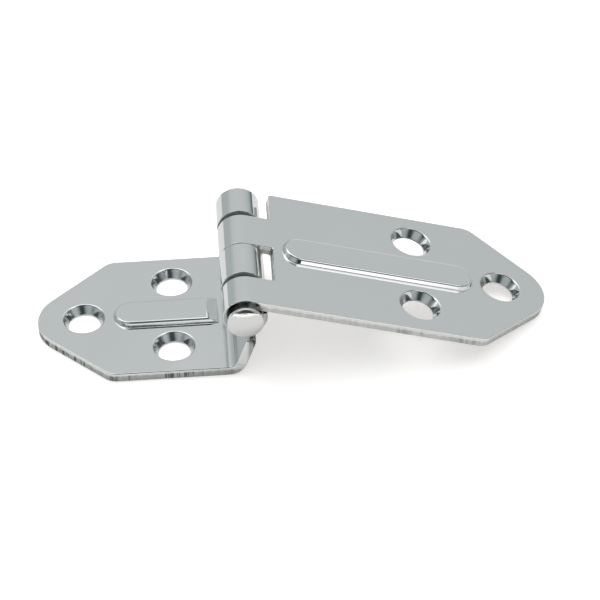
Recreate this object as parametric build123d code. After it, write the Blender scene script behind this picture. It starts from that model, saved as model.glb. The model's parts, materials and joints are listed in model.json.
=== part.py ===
from build123d import *
import math
import os

# Offset hatch hinge: two stamped sheet leaves with curled knuckles, joined by one riveted pin.
# Millimetres, +Z up. The pin runs along Y. The fixed leaf lies flat on Z = 0, towards -X, and its
# raised web carries the pin above the mounting face. The hatch leaf slopes down towards +X until
# its nose rests on Z = 0. The origin is on the mounting face, midway between the fixed leaf's two
# side holes.

# Sheet
sheet = 2.25
leaf_width = 38.0
edge_round = 0.2
slot_corner_round = 0.6

# Leaf outline, alike on both leaves; reaches are measured from the pin axis to the tip of the nose
nose_radius = 9.3
taper_inset = 16.2
shoulder_radius = 4.0
fixed_reach = 46.6
hatch_reach = 70.1

# Screw holes, alike on both leaves; the tip holes are placed from the tip of the nose
hole_diameter = 7.25
countersink_diameter = 9.45
countersink_angle = 60.0
countersink_rim_round = 0.45
fixed_tip_inset = 10.4
hatch_tip_inset = 10.65
side_to_tip_hole = 20.15
side_hole_spacing = 21.7

# Stiffening rib, pressed up from below; it ends past the side holes
rib_top_width = 7.1
rib_height = 1.2
rib_wall_angle = 70.0
rib_past_holes = 13.4
rib_edge_round = 0.5
rib_foot_round = 0.3
rib_to_slot = 2.2
rib_to_bend = 1.7
rib_ramp = 2.5
ramp_round = 1.0
ramp_lean = 3.0

# Web of the fixed leaf
pin_height = 17.5
web_angle = 70.0
bend_radius = 2.0

# Knuckles
curl_seam = 0.4
outer_knuckle = 8.25
knuckle_gap = 0.45
middle_gap = 0.9
fixed_slot_depth = 7.0
hatch_slot_depth = 6.0
hatch_slide = 0.8

# Pin, headed at both ends
pin_diameter = 5.2
pin_clearance = 0.05
head_diameter = 8.0
head_rim = 0.6
head_dome = 0.95
head_edge_round = 0.25
head_play = 1.3

# Places that follow from the sizes above
half_width = leaf_width / 2
bore_radius = pin_diameter / 2 + pin_clearance
barrel_radius = bore_radius + sheet
fixed_nose_x = -side_to_tip_hole - fixed_tip_inset
axis_x = fixed_nose_x + fixed_reach
hatch_side_reach = hatch_reach - hatch_tip_inset - side_to_tip_hole
fixed_curl_place = Pos(axis_x, 0, pin_height) * Rot(0, 180 - web_angle, 0)

web_run = math.radians(web_angle)
web_out = Vector(math.sin(web_run), -math.cos(web_run))
axis_point = Vector(axis_x, pin_height)
bend_centre_z = sheet + bend_radius
bend_reach = barrel_radius - sheet - bend_radius - (pin_height - bend_centre_z) * math.cos(web_run)
bend_centre = Vector(axis_x + bend_reach / math.sin(web_run), bend_centre_z)

# Angle that a curl turns through before its end stands off its own sheet
curl_turn = 360 - math.degrees(math.acos((bore_radius - curl_seam) / barrel_radius))

# Slope at which the hatch leaf's lower nose edge meets the mounting plane
nose_arm = math.hypot(hatch_reach, bore_radius)
hatch_slope = math.degrees(math.asin(pin_height / nose_arm) + math.atan2(bore_radius, hatch_reach))
hatch_place = Pos(axis_x, -hatch_slide, pin_height) * Rot(0, hatch_slope, 0)

# Slots of the fixed leaf along Y, the end one cut out past the sheet's edge; the hatch leaf has the
# same slots mirrored
middle_slot = (-middle_gap / 2, half_width - outer_knuckle)
end_slot = (-leaf_width, -half_width + outer_knuckle + knuckle_gap)

# Where the fixed leaf's rib starts to run out, and where it has run out before the bend
ramp_end_x = bend_centre.X - rib_to_bend
ramp_start_x = ramp_end_x - rib_ramp

rib_wall = math.radians(rib_wall_angle)
rib_foot_half = rib_top_width / 2 + rib_height / math.tan(rib_wall)
groove_top_half = rib_top_width / 2 - sheet * math.tan(rib_wall / 2)


def drawn_along_y(section, y_low, y_high):
    # a section drawn in X and Z, run from one Y to another
    return extrude(Plane.XZ.offset(-y_high) * section, amount=y_high - y_low)


def leaf_outline(nose_x, facing, length):
    # plan of a leaf: round nose, straight tapers, rounded shoulders, straight sides
    corner_x = nose_x - facing * taper_inset
    tail_x = nose_x - facing * length
    back = nose_radius - taper_inset
    touch = math.atan2(half_width, back) - math.acos(nose_radius / math.hypot(half_width, back))
    touch_x = nose_x - facing * nose_radius * (1 - math.cos(touch))
    touch_y = nose_radius * math.sin(touch)
    face = make_face([
        ThreePointArc((touch_x, -touch_y), (nose_x, 0), (touch_x, touch_y)),
        Line((touch_x, touch_y), (corner_x, half_width)),
        Line((corner_x, half_width), (tail_x, half_width)),
        Line((tail_x, half_width), (tail_x, -half_width)),
        Line((tail_x, -half_width), (corner_x, -half_width)),
        Line((corner_x, -half_width), (touch_x, -touch_y)),
    ])
    shoulders = face.vertices().filter_by(lambda corner: abs(corner.X - corner_x) < 1e-6)
    return fillet(shoulders, shoulder_radius)


def trapezoid(top_half, top_z, foot_z, wall_angle, corner_round):
    # section across a rib, drawn in Y and Z, with its two upper corners rounded
    foot_half = top_half + (top_z - foot_z) / math.tan(math.radians(wall_angle))
    corners = [(-foot_half, foot_z), (foot_half, foot_z), (top_half, top_z), (-top_half, top_z)]
    face = make_face(Polyline(*corners, close=True))
    upper = face.vertices().filter_by(lambda corner: abs(corner.Y - top_z) < 1e-6)
    return fillet(upper, corner_round)


def rib_run(section, x_low, x_high):
    return extrude(Plane.YZ.offset(x_low) * section, amount=x_high - x_low)


def rib_end(section, x, facing):
    # half a turn of the section about an upright line, which rounds off the end of a rib
    one_side = section & Pos(leaf_width, 0) * Rectangle(2 * leaf_width, 2 * leaf_width)
    turned = revolve(Plane.YZ * one_side, axis=Axis.Z, revolution_arc=180)
    return Pos(x, 0, 0) * Rot(0, 0, 90 + facing * 90) * turned


def rib_sections(plate_top):
    # the rib above the plate and the groove that it leaves below
    rib = trapezoid(rib_top_width / 2, plate_top + rib_height, plate_top - sheet / 2,
                    rib_wall_angle, rib_edge_round)
    groove = trapezoid(groove_top_half, plate_top - sheet + rib_height, plate_top - 2 * sheet,
                       rib_wall_angle, edge_round)
    return rib, groove


def screw_cutter(x, y, plate_top):
    # through hole with a countersink, cut down from the top of a plate
    through_radius = hole_diameter / 2
    spread = math.tan(math.radians(countersink_angle / 2))
    depth = (countersink_diameter - hole_diameter) / 2 / spread
    rise = depth + sheet
    shank = Pos(x, y, plate_top - sheet / 2) * Cylinder(through_radius, 2 * sheet)
    cone = Cone(through_radius, through_radius + rise * spread, rise)
    return shank + Pos(x, y, plate_top - depth + rise / 2) * cone


def drilled(leaf, side_x, facing, plate_top):
    places = [
        (side_x + facing * side_to_tip_hole, 0),
        (side_x, side_hole_spacing / 2),
        (side_x, -side_hole_spacing / 2),
    ]
    for x, y in places:
        leaf -= screw_cutter(x, y, plate_top)
    rims = leaf.edges().filter_by(GeomType.CIRCLE).filter_by(
        lambda rim: abs(rim.radius - countersink_diameter / 2) < 1e-4
        and abs(rim.center().Z - plate_top) < 1e-4)
    return fillet(rims, countersink_rim_round)


def slot_cutter(span, depth):
    # block that frees the curls of the other leaf, placed about the pin axis
    low, high = span
    reach = 2 * barrel_radius
    return Pos((depth - reach) / 2, (low + high) / 2, 0) * Box(depth + reach, high - low, 2 * reach)


def rim_edges(solid, is_skin):
    # edges between one skin of the sheet and the cut faces around it
    seen = []
    for face in solid.faces().filter_by(is_skin):
        seen.extend(face.edges())
    return [edge for edge in seen if sum(edge.is_same(other) for other in seen) == 1]


def rib_patch(section, plate_top, x_low, x_high, rounded_ends):
    # the rib on a strip of the plate's upper half, with the foot of its walls rounded
    margin = rib_foot_half + 2 * rib_foot_round
    strip_low = x_low - margin if -1 in rounded_ends else x_low
    strip_high = x_high + margin if 1 in rounded_ends else x_high
    strip = Pos((strip_low + strip_high) / 2, 0, plate_top - sheet / 4)
    patch = strip * Box(strip_high - strip_low, 2 * margin, sheet / 2) + rib_run(section, x_low, x_high)
    for facing in rounded_ends:
        patch += rib_end(section, x_high if facing > 0 else x_low, facing)

    def is_foot(edge):
        points = [edge @ 0, edge @ 0.5, edge @ 1]
        on_plate = all(abs(point.Z - plate_top) < 1e-6 for point in points)
        beside_rib = all(abs(point.Y) < rib_foot_half + rib_foot_round for point in points)
        return on_plate and beside_rib and abs(points[1].X - strip_high) > 1e-6

    return fillet(patch.edges().filter_by(is_foot), rib_foot_round)


def hatch_section():
    # seen along the pin, about the pin axis: plate along +X, curl over the top and down the left
    turn_end = math.radians(90 + curl_turn)
    end_line = Vector(math.cos(turn_end), math.sin(turn_end))
    return make_face([
        Line((hatch_reach, barrel_radius), (0, barrel_radius)),
        CenterArc((0, 0), barrel_radius, 90, curl_turn),
        Line(end_line * barrel_radius, end_line * bore_radius),
        CenterArc((0, 0), bore_radius, 90 + curl_turn, -curl_turn),
        Line((0, bore_radius), (hatch_reach, bore_radius)),
        Line((hatch_reach, bore_radius), (hatch_reach, barrel_radius)),
    ])


def fixed_section():
    # seen along the pin: flat on the mounting face, bend, web, curl over the top and down the left
    out_angle = web_angle - 90
    turn_end = math.radians(out_angle + curl_turn)
    end_line = Vector(math.cos(turn_end), math.sin(turn_end))
    outer_bend = sheet + bend_radius
    return make_face([
        Line((fixed_nose_x, 0), (bend_centre.X, 0)),
        CenterArc(bend_centre, outer_bend, -90, web_angle),
        Line(bend_centre + web_out * outer_bend, axis_point + web_out * barrel_radius),
        CenterArc(axis_point, barrel_radius, out_angle, curl_turn),
        Line(axis_point + end_line * barrel_radius, axis_point + end_line * bore_radius),
        CenterArc(axis_point, bore_radius, out_angle + curl_turn, -curl_turn),
        Line(axis_point + web_out * bore_radius, bend_centre + web_out * bend_radius),
        CenterArc(bend_centre, bend_radius, out_angle, -web_angle),
        Line((bend_centre.X, sheet), (fixed_nose_x, sheet)),
        Line((fixed_nose_x, sheet), (fixed_nose_x, 0)),
    ])


def above_ramp(depth):
    # space over the fixed leaf's rib and the ramp that ends it, at a depth below their faces; beside
    # the ramp it leans away from level, so that it crosses the rib's top and the plate
    steepness = math.atan2(rib_height, rib_ramp)
    back = depth * math.tan(steepness / 2)
    start = Vector(ramp_start_x - back, sheet + rib_height - depth)
    end = Vector(ramp_end_x - back, sheet - depth)
    run = rib_ramp + rib_to_bend + bend_radius
    lean = run * math.tan(math.radians(ramp_lean))
    ceiling = start.Y + lean + sheet
    face = make_face(Polyline(
        (start.X - run, start.Y + lean), start, end, (end.X + run, end.Y - lean),
        (end.X + run, ceiling), (start.X - run, ceiling), close=True))
    creases = face.vertices().filter_by(lambda corner: start.X - 1e-6 < corner.X < end.X + 1e-6)
    return drawn_along_y(fillet(creases, ramp_round), -half_width, half_width)


def fixed_edges_rounded(leaf):
    through = Vector(web_out.X, 0, web_out.Y)
    floor_z = (fixed_curl_place * Pos(fixed_slot_depth, 0, bore_radius + sheet / 2)).position.Z
    slot_corners = [edge for edge in leaf.edges().filter_by(GeomType.LINE)
                    if abs(edge.tangent_at(0.5).dot(through)) > 0.999
                    and abs(edge.center().Z - floor_z) < 1e-3]
    leaf = fillet(slot_corners, slot_corner_round)

    def in_skin(face, radii, side):
        if face.geom_type == GeomType.CYLINDER:
            along_pin = abs(face.axis_of_rotation.direction.Y) > 0.999
            return along_pin and min(abs(face.radius - radius) for radius in radii) < 1e-6
        if face.geom_type != GeomType.PLANE:
            return False
        normal = face.normal_at() * side
        return normal.Z > 0.999 or normal.dot(through) < -0.999

    def is_upper_skin(face):
        return in_skin(face, (bore_radius, bend_radius), 1)

    def is_lower_skin(face):
        return in_skin(face, (barrel_radius, bend_radius + sheet), -1)

    def is_curl_end(edge):
        along_pin = edge.geom_type == GeomType.LINE and abs(edge.tangent_at(0.5).Y) > 0.5
        return along_pin and edge.center().Z > floor_z + sheet

    for is_skin in (is_upper_skin, is_lower_skin):
        rim = [edge for edge in rim_edges(leaf, is_skin) if not is_curl_end(edge)]
        leaf = fillet(rim, edge_round)
    return leaf


def make_hatch_leaf():
    # built about the pin axis with its plate level, then sloped and lifted into place
    plate_top = barrel_radius
    leaf = drawn_along_y(hatch_section(), -half_width, half_width)
    plan = leaf_outline(hatch_reach, 1, hatch_reach + 2 * barrel_radius)
    leaf &= extrude(plan, amount=2 * barrel_radius, both=True)
    for low, high in (middle_slot, end_slot):
        leaf -= slot_cutter((-high, -low), hatch_slot_depth)
    slot_corners = leaf.edges().filter_by(Axis.Z).filter_by(
        lambda edge: abs(edge.center().X - hatch_slot_depth) < 1e-6)
    leaf = fillet(slot_corners, slot_corner_round)

    def is_upper_skin(face):
        if face.geom_type == GeomType.PLANE:
            return face.normal_at().Z > 0.5 and abs(face.center().Z - plate_top) < 1e-6
        return face.geom_type == GeomType.CYLINDER and abs(face.radius - barrel_radius) < 1e-6

    upper_rim = [edge for edge in rim_edges(leaf, is_upper_skin)
                 if edge.center().X > hatch_slot_depth - slot_corner_round
                 or edge.geom_type != GeomType.LINE or abs(edge.tangent_at(0.5).Y) < 0.5]
    leaf = fillet(upper_rim, edge_round)

    rib, groove = rib_sections(plate_top)
    rib_low = hatch_slot_depth + rib_to_slot + rib_foot_half
    rib_high = hatch_side_reach + rib_past_holes - rib_foot_half
    leaf += rib_patch(rib, plate_top, rib_low, rib_high, (-1, 1))
    leaf -= rib_run(groove, rib_low, rib_high)
    leaf -= rib_end(groove, rib_low, -1) + rib_end(groove, rib_high, 1)
    return drilled(leaf, hatch_side_reach, 1, plate_top)


def make_fixed_leaf():
    leaf = drawn_along_y(fixed_section(), -half_width, half_width)
    plan = leaf_outline(fixed_nose_x, -1, fixed_reach + 2 * barrel_radius)
    leaf &= extrude(plan, amount=pin_height + 2 * barrel_radius)
    for span in (middle_slot, end_slot):
        leaf -= fixed_curl_place * slot_cutter(span, fixed_slot_depth)
    leaf = fixed_edges_rounded(leaf)

    # the rib stops short of the bend in a ramp
    rib, groove = rib_sections(sheet)
    rib_low = rib_foot_half - rib_past_holes
    leaf += rib_patch(rib, sheet, rib_low, bend_centre.X, (-1,)) - above_ramp(0)
    leaf -= rib_end(groove, rib_low, -1)
    leaf -= rib_run(groove, rib_low, bend_centre.X) - above_ramp(sheet)
    return drilled(leaf, 0, -1, sheet)


def head_arc(rim_y, dome):
    # dome of a pin head, from its rim to the pin axis; a negative dome faces the front
    head = head_diameter / 2
    sphere = (head * head + dome * dome) / (2 * abs(dome))
    half_angle = math.asin(head / sphere) / 2
    middle_y = rim_y + dome - math.copysign(sphere * (1 - math.cos(half_angle)), dome)
    return ThreePointArc((head, rim_y), (sphere * math.sin(half_angle), middle_y), (0, rim_y + dome))


def make_pin():
    # drawn as radius and place along the pin, then turned about the pin axis
    shank = pin_diameter / 2
    head = head_diameter / 2
    back = half_width
    front = -half_width - hatch_slide - head_play
    face = make_face([
        Line((0, front - head_rim - head_dome), (0, back + head_rim + head_dome)),
        head_arc(back + head_rim, head_dome),
        Line((head, back + head_rim), (head, back)),
        Line((head, back), (shank, back)),
        Line((shank, back), (shank, front)),
        Line((shank, front), (head, front)),
        Line((head, front), (head, front - head_rim)),
        head_arc(front - head_rim, -head_dome),
    ])
    rims = face.vertices().filter_by(
        lambda corner: abs(corner.X - head) < 1e-6 and not front - 1e-6 < corner.Y < back + 1e-6)
    return Pos(axis_x, 0, pin_height) * revolve(fillet(rims, head_edge_round), axis=Axis.Y)


pieces = {
    "fixed_leaf": make_fixed_leaf(),
    "hatch_leaf": hatch_place * make_hatch_leaf(),
    "hinge_pin": make_pin(),
}
os.makedirs("parts", exist_ok=True)
for name, piece in pieces.items():
    export_step(piece, "parts/" + name + ".step")
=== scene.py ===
import bpy
import bmesh
import json
import math
from mathutils import Matrix, Vector


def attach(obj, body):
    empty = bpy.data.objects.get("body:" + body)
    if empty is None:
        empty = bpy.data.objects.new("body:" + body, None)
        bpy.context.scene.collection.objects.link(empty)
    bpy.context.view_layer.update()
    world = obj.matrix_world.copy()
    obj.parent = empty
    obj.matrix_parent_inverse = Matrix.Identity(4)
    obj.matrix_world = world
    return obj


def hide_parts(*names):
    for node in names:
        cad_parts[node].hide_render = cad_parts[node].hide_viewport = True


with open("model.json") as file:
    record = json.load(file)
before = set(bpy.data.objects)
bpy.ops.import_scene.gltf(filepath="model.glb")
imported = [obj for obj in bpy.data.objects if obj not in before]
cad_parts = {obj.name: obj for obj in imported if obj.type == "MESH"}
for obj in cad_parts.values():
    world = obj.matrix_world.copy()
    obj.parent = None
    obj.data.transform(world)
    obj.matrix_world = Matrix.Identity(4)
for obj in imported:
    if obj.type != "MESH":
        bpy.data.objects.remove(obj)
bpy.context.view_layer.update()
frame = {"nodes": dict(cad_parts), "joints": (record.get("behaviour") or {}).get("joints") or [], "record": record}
scene = bpy.context.scene
scene.view_settings.view_transform = "Standard"
mounts = {mount["name"]: mount for mount in frame["record"]["mounts"]}
pinCentre = Vector(frame["joints"][0]["pos_m"])
hatchUp = Vector(mounts["hatch_side_screws"]["axis"])
print("frame loaded:", ", ".join(sorted(frame["nodes"])))

# camera, solved from the corners, hole rims and knuckles seen in the picture
viewSet = {
    "place": (0.009861, -0.413717, 0.37245),
    "azimuth": -2.6419,
    "elevation": 41.6519,
    "roll": -1.6365,
    "focal": 2445.02,      # in pixels of a picture 600 wide
    "picture": 600.0,
    "sensor": 36.0,
    "clip": (0.01, 20.0),
}


def makeCamera():
    data = bpy.data.cameras.new("hingeCamera")
    data.sensor_width = viewSet["sensor"]
    data.lens = viewSet["focal"] / viewSet["picture"] * viewSet["sensor"]
    data.clip_start, data.clip_end = viewSet["clip"]
    data.dof.use_dof = False
    around, above, lean = (math.radians(viewSet[key]) for key in ("azimuth", "elevation", "roll"))
    back = Vector((math.sin(around) * math.cos(above), -math.cos(around) * math.cos(above), math.sin(above)))
    level = Vector((math.cos(around), math.sin(around), 0.0))
    upright = back.cross(level)
    right = level * math.cos(lean) + upright * math.sin(lean)
    up = upright * math.cos(lean) - level * math.sin(lean)
    camera = bpy.data.objects.new("hingeCamera", data)
    scene.collection.objects.link(camera)
    turn = Matrix((right, up, back)).transposed().to_4x4()
    camera.matrix_world = Matrix.Translation(viewSet["place"]) @ turn
    scene.camera = camera


makeCamera()
print("camera set")


def newMaterial(name):
    material = bpy.data.materials.new(name)
    material.use_nodes = True
    tree = material.node_tree
    return material, tree, tree.nodes["Principled BSDF"]


def addNode(tree, kind, **values):
    node = tree.nodes.new(kind)
    for key, value in values.items():
        if hasattr(node, key):
            setattr(node, key, value)
        else:
            node.inputs[key.replace("_", " ")].default_value = value
    return node


def join(tree, fromSocket, toSocket):
    tree.links.new(fromSocket, toSocket)


def objectPoint(tree, turn=(0, 0, 0), stretch=(1, 1, 1), shift=(0, 0, 0)):
    coords = addNode(tree, "ShaderNodeTexCoord")
    mapping = addNode(tree, "ShaderNodeMapping")
    mapping.inputs["Location"].default_value = shift
    mapping.inputs["Rotation"].default_value = turn
    mapping.inputs["Scale"].default_value = stretch
    join(tree, coords.outputs["Object"], mapping.inputs["Vector"])
    return mapping.outputs["Vector"]


def noise(tree, point, scale, detail, roughness):
    node = addNode(tree, "ShaderNodeTexNoise", Scale=scale, Detail=detail, Roughness=roughness)
    join(tree, point, node.inputs["Vector"])
    return node.outputs["Fac"]


def spread(tree, value, low, high, fromLow=0.3, fromHigh=0.7):
    node = addNode(tree, "ShaderNodeMapRange", clamp=True)
    node.inputs["From Min"].default_value = fromLow
    node.inputs["From Max"].default_value = fromHigh
    node.inputs["To Min"].default_value = low
    node.inputs["To Max"].default_value = high
    join(tree, value, node.inputs["Value"])
    return node.outputs["Result"]


def blendColour(tree, share, first, second):
    # each colour is either a plain triple or the socket that gives it
    node = addNode(tree, "ShaderNodeMix", data_type="RGBA")
    join(tree, share, node.inputs[0])
    colourInputs = [socket for socket in node.inputs if socket.type == "RGBA"]
    for socket, colour in zip(colourInputs, (first, second)):
        if isinstance(colour, tuple):
            socket.default_value = (*colour, 1.0)
        else:
            join(tree, colour, socket)
    return [socket for socket in node.outputs if socket.type == "RGBA"][0]


def bump(tree, height, distance, strength, under=None):
    node = addNode(tree, "ShaderNodeBump", Distance=distance, Strength=strength)
    join(tree, height, node.inputs["Height"])
    if under is not None:
        join(tree, under, node.inputs["Normal"])
    return node.outputs["Normal"]


# mirror polish of the stamped sheet; each noise has its scale, detail and roughness
sheetPolish = {
    "light": (0.79, 0.80, 0.80),
    "dull": (0.755, 0.768, 0.772),
    "roughness": (0.045, 0.1),
    "cloud": (45.0, 4.0, 0.6),
    "ripple": (170.0, 1.0, 0.4),
    "rippleHeight": 0.000012,
    "hair": (26.0, 3.0, 0.6),
    "hairStretch": (1.0, 120.0, 20.0),
    "hairHeight": 0.0000012,
}


def makeSheetPolish(name, turn):
    material, tree, shader = newMaterial(name)
    shader.inputs["Metallic"].default_value = 1.0
    plain = objectPoint(tree)
    hair = objectPoint(tree, turn=turn, stretch=sheetPolish["hairStretch"])
    cloud = noise(tree, plain, *sheetPolish["cloud"])
    scuff = noise(tree, hair, *sheetPolish["hair"])
    steel = blendColour(tree, cloud, sheetPolish["dull"], sheetPolish["light"])
    join(tree, steel, shader.inputs["Base Color"])
    join(tree, spread(tree, cloud, *sheetPolish["roughness"]), shader.inputs["Roughness"])
    ripple = noise(tree, plain, *sheetPolish["ripple"])
    wavy = bump(tree, ripple, sheetPolish["rippleHeight"], 1.0)
    join(tree, bump(tree, scuff, sheetPolish["hairHeight"], 1.0, wavy), shader.inputs["Normal"])
    return material


# sheared edges of the sheet: burnished near the top skin, torn and darker below, with a lighter lip at the top
# skin that is partly a painted highlight
shearSet = {
    "streakStretch": (1.0, 1.0, 0.06),
    "streakDetail": (3.0, 0.6),
    "blotchStretch": (1.0, 1.0, 1.6),
    "blotchDetail": (4.0, 0.62),
    "clusterDetail": (1.0, 0.5),
    "clusterShare": 0.7,
    "wander": 0.5,
    "tornBand": (0.2, 0.34),
    "grain": (-0.35, 0.35),
    "grainFrom": (0.35, 0.65),
    "lipHighlightBand": (0.1, 0.2),
    "streakBump": 0.5,
    "blotchBump": 0.35,
}
# the same sheared steel on both leaves, in a darker copy for the fixed leaf: painted shade of its edges lying in
# their contact shadow near the floor
fixedShadedEdge = {
    "metallic": 1.0,
    "lipAndHighlight": (0.90, 0.91, 0.90),
    "bright": (0.74, 0.755, 0.74),
    "torn": (0.50, 0.515, 0.50),
    "pit": (0.14, 0.145, 0.145),
    "tornFrom": 0.3,
    "roughness": (0.2, 0.48),
    "streakScale": 1500.0,
    "blotchScale": 420.0,
    "clusterScale": 90.0,
    "nicks": (0.88, 0.98),
    "height": 0.00006,
}
# the lighter copy of the same sheared steel for the raised hatch leaf: painted light on its edges
hatchLitEdge = {
    "metallic": 1.0,
    "lipAndHighlight": (0.96, 0.96, 0.95),
    "bright": (0.78, 0.775, 0.765),
    "torn": (0.60, 0.595, 0.585),
    "pit": (0.42, 0.42, 0.41),
    "tornFrom": 0.45,
    "roughness": (0.2, 0.42),
    "streakScale": 1300.0,
    "blotchScale": 520.0,
    "clusterScale": 150.0,
    "nicks": (0.94, 1.1),
    "height": 0.00005,
}
# ends of the curled knuckles, where they turn against each other: darkened as painted shade of the gaps between
# the knuckles and round the pin head, duller on one leaf and darker on the other
fixedKnuckleShade = {
    "metallic": 0.2,
    "lipAndHighlight": (0.5, 0.52, 0.51),
    "bright": (0.36, 0.38, 0.37),
    "torn": (0.28, 0.30, 0.29),
    "pit": (0.16, 0.17, 0.17),
    "tornFrom": 0.3,
    "roughness": (0.35, 0.5),
    "streakScale": 900.0,
    "blotchScale": 420.0,
    "clusterScale": 150.0,
    "nicks": (0.94, 1.06),
    "height": 0.00002,
}
hatchKnuckleShade = {
    "metallic": 1.0,
    "lipAndHighlight": (0.5, 0.53, 0.53),
    "bright": (0.40, 0.43, 0.43),
    "torn": (0.30, 0.33, 0.33),
    "pit": (0.16, 0.18, 0.18),
    "tornFrom": 0.3,
    "roughness": (0.1, 0.2),
    "streakScale": 900.0,
    "blotchScale": 420.0,
    "clusterScale": 150.0,
    "nicks": (0.94, 1.06),
    "height": 0.00002,
}


def makeShearedEdge(name, turn, look):
    material, tree, shader = newMaterial(name)
    shader.inputs["Metallic"].default_value = look["metallic"]
    streakPoint = objectPoint(tree, turn=turn, stretch=shearSet["streakStretch"])
    blotchPoint = objectPoint(tree, turn=turn, stretch=shearSet["blotchStretch"])
    streak = noise(tree, streakPoint, look["streakScale"], *shearSet["streakDetail"])
    blotch = noise(tree, blotchPoint, look["blotchScale"], *shearSet["blotchDetail"])
    patch = noise(tree, blotchPoint, look["clusterScale"], *shearSet["clusterDetail"])
    depth = addNode(tree, "ShaderNodeAttribute", attribute_name="cutDepth")
    wander = addNode(tree, "ShaderNodeMath", operation="MULTIPLY_ADD")
    join(tree, blotch, wander.inputs[0])
    wander.inputs[1].default_value = shearSet["wander"]
    join(tree, depth.outputs["Fac"], wander.inputs[2])
    tornBand = [look["tornFrom"] + step for step in shearSet["tornBand"]]
    torn = spread(tree, wander.outputs["Value"], 0.0, 1.0, *tornBand)
    # dark nicks across the torn band, in clusters
    clusters = addNode(tree, "ShaderNodeMath", operation="MULTIPLY_ADD")
    join(tree, patch, clusters.inputs[0])
    clusters.inputs[1].default_value = shearSet["clusterShare"]
    join(tree, streak, clusters.inputs[2])
    pits = addNode(tree, "ShaderNodeMath", operation="MULTIPLY")
    join(tree, torn, pits.inputs[0])
    join(tree, spread(tree, clusters.outputs["Value"], 0.0, 1.0, *look["nicks"]), pits.inputs[1])
    # fine grain down the cut, and a bright band at the rolled lip below the top skin: partly the burnished
    # rollover, partly a painted highlight
    grain = addNode(tree, "ShaderNodeMath", operation="ADD", use_clamp=True)
    join(tree, torn, grain.inputs[0])
    join(tree, spread(tree, streak, *shearSet["grain"], *shearSet["grainFrom"]), grain.inputs[1])
    base = blendColour(tree, grain.outputs["Value"], look["bright"], look["torn"])
    base = blendColour(tree, pits.outputs["Value"], base, look["pit"])
    lipAndHighlight = spread(tree, depth.outputs["Fac"], 1.0, 0.0, *shearSet["lipHighlightBand"])
    join(tree, blendColour(tree, lipAndHighlight, base, look["lipAndHighlight"]), shader.inputs["Base Color"])
    join(tree, spread(tree, torn, *look["roughness"], 0.0, 1.0), shader.inputs["Roughness"])
    rough = bump(tree, streak, look["height"], shearSet["streakBump"])
    join(tree, bump(tree, blotch, look["height"], shearSet["blotchBump"], rough), shader.inputs["Normal"])
    return material


# cone and bore of a countersunk hole, cut by a turning tool
holeSeat = {
    "light": (0.80, 0.81, 0.81),
    "dark": (0.66, 0.68, 0.69),
    "roughness": (0.05, 0.14),
    "haze": (380.0, 3.0, 0.6),
    "ringPitch": 0.00016,
    "ringDetail": 3.0,
    "height": 0.0000022,
}


def makeHoleSeat():
    material, tree, shader = newMaterial("holeSeat")
    shader.inputs["Metallic"].default_value = 1.0
    radius = addNode(tree, "ShaderNodeAttribute", attribute_name="seatRadius")
    turns = addNode(tree, "ShaderNodeMath", operation="MULTIPLY")
    join(tree, radius.outputs["Fac"], turns.inputs[0])
    turns.inputs[1].default_value = 1.0 / holeSeat["ringPitch"]
    rings = addNode(tree, "ShaderNodeTexNoise", noise_dimensions="1D", Scale=1.0,
                    Detail=holeSeat["ringDetail"])
    join(tree, turns.outputs["Value"], rings.inputs["W"])
    haze = noise(tree, objectPoint(tree), *holeSeat["haze"])
    join(tree, blendColour(tree, spread(tree, haze, 0.0, 1.0), holeSeat["dark"], holeSeat["light"]),
         shader.inputs["Base Color"])
    join(tree, spread(tree, rings.outputs["Fac"], *holeSeat["roughness"]), shader.inputs["Roughness"])
    join(tree, bump(tree, rings.outputs["Fac"], holeSeat["height"], 1.0), shader.inputs["Normal"])
    return material


# pin: faint turning rings round its axis
pinFinish = {
    "light": (0.80, 0.79, 0.775),
    "dull": (0.74, 0.735, 0.725),
    "roughness": (0.07, 0.14),
    "cloud": (260.0, 4.0, 0.6),
    "ringScale": 900.0,
    "ringBend": 1.2,
    "ringDetail": 2.0,
    "ringHeight": 0.0000015,
    "ripple": (300.0, 1.0, 0.4),
    "rippleHeight": 0.00001,
}


def makePinFinish():
    material, tree, shader = newMaterial("pinTurned")
    shader.inputs["Metallic"].default_value = 1.0
    centred = objectPoint(tree, shift=(-pinCentre.x, 0.0, -pinCentre.z))
    rings = addNode(tree, "ShaderNodeTexWave", wave_type="RINGS", rings_direction="Y",
                    Scale=pinFinish["ringScale"], Distortion=pinFinish["ringBend"],
                    Detail=pinFinish["ringDetail"])
    join(tree, centred, rings.inputs["Vector"])
    plain = objectPoint(tree)
    cloud = noise(tree, plain, *pinFinish["cloud"])
    join(tree, blendColour(tree, cloud, pinFinish["dull"], pinFinish["light"]), shader.inputs["Base Color"])
    join(tree, spread(tree, cloud, *pinFinish["roughness"]), shader.inputs["Roughness"])
    wavy = bump(tree, noise(tree, plain, *pinFinish["ripple"]), pinFinish["rippleHeight"], 1.0)
    join(tree, bump(tree, rings.outputs["Fac"], pinFinish["ringHeight"], 1.0, wavy), shader.inputs["Normal"])
    return material


# mesh of a node, welded and with its flat faces whole; angles in degrees
cleanSet = {
    "weld": 0.0000015,
    "flat": 0.02,
    "sharp": 28.5,
    "evenWeight": 50,
}


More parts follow.
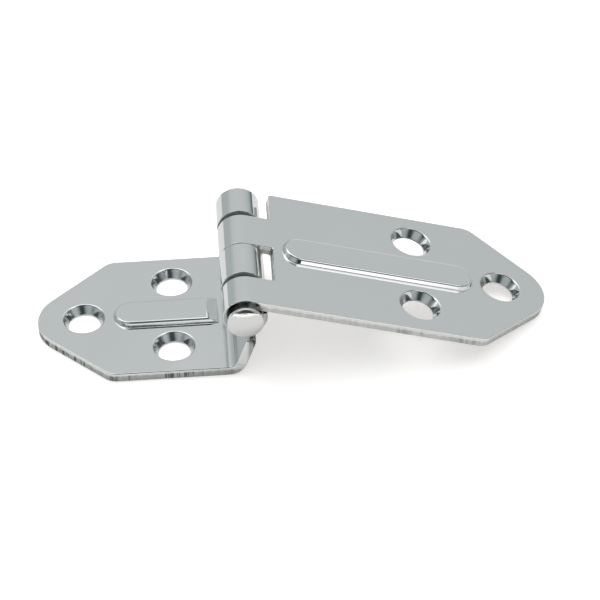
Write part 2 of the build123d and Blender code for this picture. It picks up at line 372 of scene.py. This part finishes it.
def cleanCopy(nodeName, pieceName):
    mesh = frame["nodes"][nodeName].data.copy()
    mesh.name = pieceName
    mesh.materials.clear()
    form = bmesh.new()
    form.from_mesh(mesh)
    bmesh.ops.remove_doubles(form, verts=form.verts, dist=cleanSet["weld"])
    flat = math.radians(cleanSet["flat"])
    bmesh.ops.dissolve_limit(form, angle_limit=flat, verts=form.verts, edges=form.edges)
    form.to_mesh(mesh)
    form.free()
    if mesh.has_custom_normals:
        mesh.attributes.remove(mesh.attributes["custom_normal"])
    for face in mesh.polygons:
        face.use_smooth = True
    mesh.set_sharp_from_angle(angle=math.radians(cleanSet["sharp"]))
    piece = bpy.data.objects.new(pieceName, mesh)
    scene.collection.objects.link(piece)
    even = piece.modifiers.new("evenNormals", "WEIGHTED_NORMAL")
    even.mode = "FACE_AREA"
    even.weight = cleanSet["evenWeight"]
    even.keep_sharp = True
    return piece


# both leaves: sizes and slopes by which the faces of a leaf are told apart
leafSet = {
    "sheet": 0.00225,
    "barrel": 0.0049,
    "webAngle": 70.0,
    "webFrom": 0.0046,
    "seatReach": 0.00515,
    "sidePair": 0.01085,
    "curlSlack": 0.00015,
    "skinSlack": 0.02,
    "seatSlope": 0.97,
    "endSlope": 0.9,
    "edgeSlope": 0.35,
}


def holeCentres(prefix):
    pair = Vector(mounts[prefix + "_side_screws"]["pos_m"])
    tip = Vector(mounts[prefix + "_tip_screw"]["pos_m"])
    across = Vector((0.0, leafSet["sidePair"], 0.0))
    return [tip, pair + across, pair - across]


def fromLine(point, start, along):
    offset = point - start
    return (offset - along * offset.dot(along)).length


def markLeaf(piece, prefix, up, topLevel):
    mesh = piece.data
    centres = holeCentres(prefix)
    tilt = math.radians(leafSet["webAngle"])
    webOut = Vector((math.sin(tilt), 0.0, -math.cos(tilt)))
    along = Vector((up.z, 0.0, -up.x))
    sheet, barrel = leafSet["sheet"], leafSet["barrel"]

    def sheetAt(point):
        # direction through the sheet at a point, how deep the point lies below the top skin, and where
        spoke = Vector((point.x - pinCentre.x, 0.0, point.z - pinCentre.z))
        onPlate = prefix == "hatch" and (point - pinCentre).dot(along) > 0.0
        if spoke.length < barrel + leafSet["curlSlack"] and not onPlate:
            return spoke.normalized(), (barrel - spoke.length) / sheet, "curl"
        if prefix == "fixed" and point.z > leafSet["webFrom"]:
            return webOut, (spoke.dot(webOut) - (barrel - sheet)) / sheet, "web"
        return up, (topLevel - (point - pinCentre).dot(up)) / sheet, "plate"

    depth = mesh.attributes.new("cutDepth", "FLOAT", "POINT")
    ring = mesh.attributes.new("seatRadius", "FLOAT", "POINT")
    for vertex in mesh.vertices:
        depth.data[vertex.index].value = min(1.0, max(0.0, sheetAt(vertex.co)[1]))
        ring.data[vertex.index].value = min(fromLine(vertex.co, centre, up) for centre in centres)
    counts = [0, 0, 0, 0]
    for face in mesh.polygons:
        through, depthHere, where = sheetAt(face.center)
        reach = min(fromLine(face.center, centre, up) for centre in centres)
        kind = 0
        steep = abs(face.normal.dot(up)) < leafSet["seatSlope"]
        if where == "plate" and reach < leafSet["seatReach"] and steep:
            kind = 2
        elif where == "curl" and abs(face.normal.y) > leafSet["endSlope"]:
            kind = 3
        elif abs(face.normal.dot(through)) < leafSet["edgeSlope"] and depthHere > -leafSet["skinSlack"]:
            kind = 1
        face.material_index = kind
        counts[kind] += 1
    print(piece.name, "faces: polish, cut edge, seat, knuckle end =", counts)


def makeLeaf(nodeName, pieceName, body, prefix, up, topLevel, turn, edge, knuckle, seat):
    piece = cleanCopy(nodeName, pieceName)
    piece.data.materials.append(makeSheetPolish(prefix + "Polish", turn))
    piece.data.materials.append(makeShearedEdge(prefix + "Edge", turn, edge))
    piece.data.materials.append(seat)
    # the knuckle ends take a darker copy of the cut-edge finish, as painted shade of the gaps between the knuckles
    piece.data.materials.append(makeShearedEdge(prefix + "KnuckleEndShade", turn, knuckle))
    markLeaf(piece, prefix, up, topLevel)
    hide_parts(nodeName)
    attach(piece, body)


seat = makeHoleSeat()
slope = math.atan2(hatchUp.x, hatchUp.z)
upright = Vector((0.0, 0.0, 1.0))
fixedTop = leafSet["sheet"] - pinCentre.z
makeLeaf("fixed_leaf", "fixedLeaf", "fixed", "fixed", upright, fixedTop, (0, 0, 0),
         fixedShadedEdge, fixedKnuckleShade, seat)
makeLeaf("hatch_leaf", "hatchLeaf", "hatch", "hatch", hatchUp, leafSet["barrel"], (0, -slope, 0),
         hatchLitEdge, hatchKnuckleShade, seat)

pin = cleanCopy("hinge_pin", "hingePin")
pin.data.materials.append(makePinFinish())
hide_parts("hinge_pin")
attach(pin, "fixed")
print("leaves and pin dressed")

# white floor that keeps the shadow, seen by the camera and by the metal
floorSet = {
    "half": 2.5,
    "level": -0.0001,
    "colour": (0.80, 0.795, 0.79),
    "warmth": (1.0, 0.97, 0.945),
    "cameraFill": 0.53,
    # glow the metal sees on the paper, lower near the hinge as painted shade of its shadow, and the reach over
    # which it rises
    "mirroredFillAndShade": (0.05, 0.62),
    "metalReach": (-0.12, -0.19),
}


def makeFloor():
    form = bmesh.new()
    bmesh.ops.create_grid(form, x_segments=1, y_segments=1, size=floorSet["half"])
    bmesh.ops.translate(form, verts=form.verts, vec=(0.0, 0.0, floorSet["level"]))
    mesh = bpy.data.meshes.new("paperFloor")
    form.to_mesh(mesh)
    form.free()
    floor = bpy.data.objects.new("paperFloor", mesh)
    scene.collection.objects.link(floor)
    material = bpy.data.materials.new("whitePaper")
    material.use_nodes = True
    tree = material.node_tree
    tree.nodes.remove(tree.nodes["Principled BSDF"])
    output = tree.nodes["Material Output"]
    paper = addNode(tree, "ShaderNodeBsdfDiffuse")
    paper.inputs["Color"].default_value = (*floorSet["colour"], 1.0)
    rays = addNode(tree, "ShaderNodeLightPath")
    metal = addNode(tree, "ShaderNodeMath", operation="MAXIMUM")
    join(tree, rays.outputs["Is Glossy Ray"], metal.inputs[0])
    join(tree, rays.outputs["Is Transmission Ray"], metal.inputs[1])
    # the paper glows whiter in the metal towards the front, away from the hinge: painted shade of the hinge's
    # shadow on the paper, as the metal mirrors it
    place = addNode(tree, "ShaderNodeSeparateXYZ")
    join(tree, objectPoint(tree), place.inputs["Vector"])
    mirroredFillAndShade = addNode(tree, "ShaderNodeMath", operation="MULTIPLY")
    join(tree, metal.outputs["Value"], mirroredFillAndShade.inputs[0])
    join(tree, spread(tree, place.outputs["Y"], *floorSet["mirroredFillAndShade"], *floorSet["metalReach"]),
         mirroredFillAndShade.inputs[1])
    fill = addNode(tree, "ShaderNodeMath", operation="MULTIPLY_ADD")
    join(tree, rays.outputs["Is Camera Ray"], fill.inputs[0])
    fill.inputs[1].default_value = floorSet["cameraFill"]
    join(tree, mirroredFillAndShade.outputs["Value"], fill.inputs[2])
    glow = addNode(tree, "ShaderNodeEmission")
    glow.inputs["Color"].default_value = (*floorSet["warmth"], 1.0)
    join(tree, fill.outputs["Value"], glow.inputs["Strength"])
    lit = addNode(tree, "ShaderNodeAddShader")
    join(tree, paper.outputs["BSDF"], lit.inputs[0])
    join(tree, glow.outputs["Emission"], lit.inputs[1])
    clear = addNode(tree, "ShaderNodeBsdfTransparent")
    side = addNode(tree, "ShaderNodeNewGeometry")
    choose = addNode(tree, "ShaderNodeMixShader")
    join(tree, side.outputs["Backfacing"], choose.inputs["Fac"])
    join(tree, lit.outputs["Shader"], choose.inputs[1])
    join(tree, clear.outputs["BSDF"], choose.inputs[2])
    join(tree, choose.outputs["Shader"], output.inputs["Surface"])
    mesh.materials.append(material)


# light tent as the metal mirrors it: levels by height behind and in front, then panels laid over them
tentSet = {
    "behind": [(0.0, 0.10), (0.07, 0.16), (0.15, 0.36), (0.3, 0.53), (0.5, 0.615), (0.6, 0.635),
               (0.69, 0.655), (0.76, 1.3), (0.93, 1.7), (0.985, 0.6), (1.0, 0.1)],
    "front": [(0.0, 0.04), (0.06, 0.05), (0.5, 0.08), (1.0, 0.10)],
    "turnFrom": 0.15,
    "turnTo": -0.15,
    "cool": 0.28,
    "panels": [
        {"toward": (-0.62, 0.75, 0.15), "reach": (26.0, 10.0), "level": 0.5},
        {"toward": (0.31, 0.92, 0.2), "reach": (16.0, 8.0), "level": 0.95},
        {"toward": (0.476, 0.333, 0.812), "reach": (16.0, 8.0), "level": 0.25},
        {"toward": (0.489, -0.17, 0.855), "reach": (14.0, 10.0), "level": 1.5},
        {"toward": (-0.87, 0.14, 0.475), "reach": (10.0, 8.0), "level": 1.4},
        {"toward": (-0.96, -0.15, 0.14), "reach": (34.0, 8.0), "level": 0.5},
        {"toward": (0.72, -0.62, 0.3), "reach": (30.0, 8.0), "level": 0.55},
        {"toward": (-0.45, -0.72, 0.5), "reach": (30.0, 12.0), "level": 0.5},
    ],
}


def tentColour(level):
    return (level * (1.0 - tentSet["cool"] * max(0.0, 1.0 - level) ** 2), level, level)


def ramp(tree, value, stops):
    node = addNode(tree, "ShaderNodeValToRGB")
    strip = node.color_ramp
    while len(strip.elements) < len(stops):
        strip.elements.new(0.5)
    for element, (place, level) in zip(strip.elements, stops):
        element.position = place
        element.color = (*tentColour(level), 1.0)
    join(tree, value, node.inputs["Fac"])
    return node.outputs["Color"]


def addPanel(tree, direction, colour, panel):
    facing = addNode(tree, "ShaderNodeVectorMath", operation="DOT_PRODUCT")
    join(tree, direction, facing.inputs[0])
    facing.inputs[1].default_value = Vector(panel["toward"]).normalized()
    outer, inner = (math.cos(math.radians(angle)) for angle in panel["reach"])
    share = spread(tree, facing.outputs["Value"], 0.0, 1.0, outer, inner)
    return blendColour(tree, share, colour, tentColour(panel["level"]))


def makeTent():
    world = bpy.data.worlds.new("lightTent")
    world.use_nodes = True
    scene.world = world
    tree = world.node_tree
    background = tree.nodes["Background"]
    output = tree.nodes["World Output"]
    direction = addNode(tree, "ShaderNodeTexCoord").outputs["Generated"]
    parts = addNode(tree, "ShaderNodeSeparateXYZ")
    join(tree, direction, parts.inputs["Vector"])
    behind = ramp(tree, parts.outputs["Z"], tentSet["behind"])
    front = ramp(tree, parts.outputs["Z"], tentSet["front"])
    share = spread(tree, parts.outputs["Y"], 0.0, 1.0, tentSet["turnTo"], tentSet["turnFrom"])
    colour = blendColour(tree, share, front, behind)
    for panel in tentSet["panels"]:
        colour = addPanel(tree, direction, colour, panel)
    join(tree, colour, background.inputs["Color"])
    white = addNode(tree, "ShaderNodeBackground")
    white.inputs["Color"].default_value = (1.0, 1.0, 1.0, 1.0)
    rays = addNode(tree, "ShaderNodeLightPath")
    choose = addNode(tree, "ShaderNodeMixShader")
    join(tree, rays.outputs["Is Camera Ray"], choose.inputs["Fac"])
    join(tree, background.outputs["Background"], choose.inputs[1])
    join(tree, white.outputs["Background"], choose.inputs[2])
    join(tree, choose.outputs["Shader"], output.inputs["Surface"])


# soft box over the hinge; it lights the paper, and the tent is what the metal mirrors
softBox = {"name": "topBox", "place": (0.0, 0.35, 2.3), "size": (4.6, 4.2), "power": 52.0}


def makeSoftBox():
    data = bpy.data.lights.new(softBox["name"], "AREA")
    data.shape = "RECTANGLE"
    data.size, data.size_y = softBox["size"]
    data.energy = softBox["power"]
    lamp = bpy.data.objects.new(softBox["name"], data)
    scene.collection.objects.link(lamp)
    lamp.location = softBox["place"]
    lamp.rotation_euler = (-Vector(softBox["place"])).to_track_quat("-Z", "Y").to_euler()
    lamp.visible_glossy = False


makeFloor()
makeTent()
makeSoftBox()
print("floor and light set")
